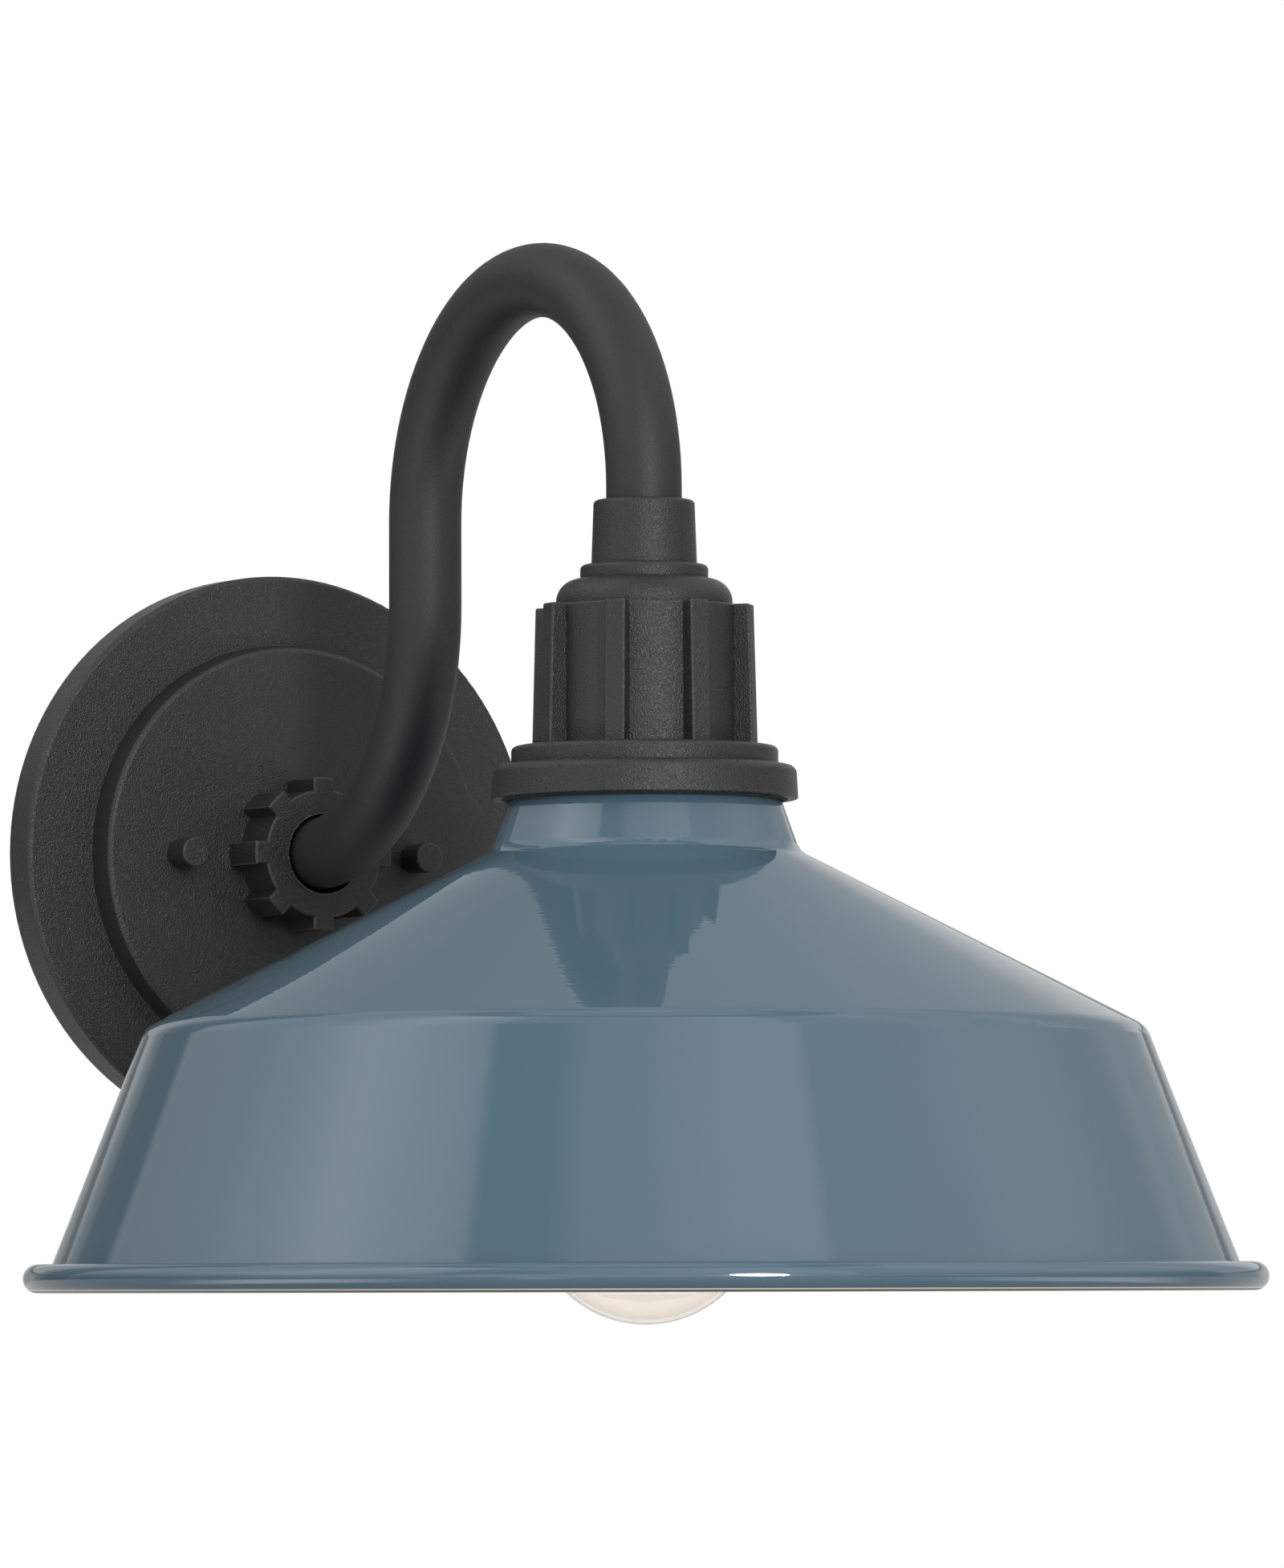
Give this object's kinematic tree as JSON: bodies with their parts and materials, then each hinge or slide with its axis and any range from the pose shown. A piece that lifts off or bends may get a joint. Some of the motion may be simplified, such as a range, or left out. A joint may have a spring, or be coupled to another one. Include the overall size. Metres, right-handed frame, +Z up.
{
  "type": "barn light",
  "caption": "Gooseneck barn light with a stepped round backplate, toothed arm collar, ribbed socket cap, flared metal shade with a curled rim and a clear bulb that draws out.",
  "frame": {"origin": "centre of the backplate's back, on the wall", "axes": "+Z up the wall, -Y straight out from the wall towards the shade, +X to the right as seen by someone facing the wall"},
  "size_m": [0.2606, 0.3053, 0.2327],
  "materials": {
    "black_coat": "matte powder coat with a fine sand texture",
    "shade_enamel": "glossy slate blue outside, white inside",
    "plated_steel": "zinc plated",
    "green_steel": "green dye over zinc",
    "holder_plastic": "moulded, slightly glossy",
    "contact_brass": "bright sheet",
    "gasket_rubber": "matte",
    "lead_black": "extruded insulation",
    "lead_white": "extruded insulation",
    "clear_glass": "clear, blown",
    "base_alloy": "bright rolled sheet",
    "base_glass": "black insulating glass",
    "tip_solder": "soldered",
    "filament_coat": "pale amber coating",
    "filament_metal": "drawn wire"
  },
  "bodies": {
    "fixture": {"backplate": "black_coat", "toothed_collar": "black_coat", "mounting_strap": "plated_steel", "mounting_studs": "plated_steel", "stud_locknuts": "plated_steel", "ground_screw": "green_steel", "gooseneck_arm": "black_coat", "arm_bush_plate": "plated_steel", "arm_bush_head": "plated_steel", "plate_nipple": "plated_steel", "plate_lock_washer": "plated_steel", "plate_locknut": "plated_steel", "head_nipple": "plated_steel", "head_lock_washer": "plated_steel", "head_locknut": "plated_steel", "ribbed_cap": "black_coat", "holder_stirrup": "plated_steel", "stirrup_screws": "plated_steel", "lampholder_body": "holder_plastic", "lampholder_shell": "contact_brass", "lampholder_contact": "contact_brass", "terminal_blocks": "contact_brass", "terminal_screws": "contact_brass", "lead_live": "lead_black", "lead_neutral": "lead_white", "shade_gasket": "gasket_rubber", "shade": "shade_enamel", "shade_ring": "holder_plastic"},
    "bulb": {"bulb_glass": "clear_glass", "bulb_base": "base_alloy", "bulb_insulator": "base_glass", "bulb_tip": "tip_solder", "bulb_stem": "clear_glass", "bulb_filaments": "filament_coat", "filament_wires": "filament_metal"},
    "nut_left": {"cap_nut_left": "black_coat"},
    "nut_right": {"cap_nut_right": "black_coat"}
  },
  "joints": [
    {"name": "bulb_draw", "type": "slide", "parent": "fixture", "child": "bulb", "axis": [0, 0, -1], "range_m": [0, 0.14]},
    {"name": "nut_left_turn", "type": "hinge", "parent": "fixture", "child": "nut_left", "pos_m": [-0.0296, -0.02, 0], "axis": [0, -1, 0], "continuous": true},
    {"name": "nut_right_turn", "type": "hinge", "parent": "fixture", "child": "nut_right", "pos_m": [0.0296, -0.02, 0], "axis": [0, -1, 0], "continuous": true}
  ]
}
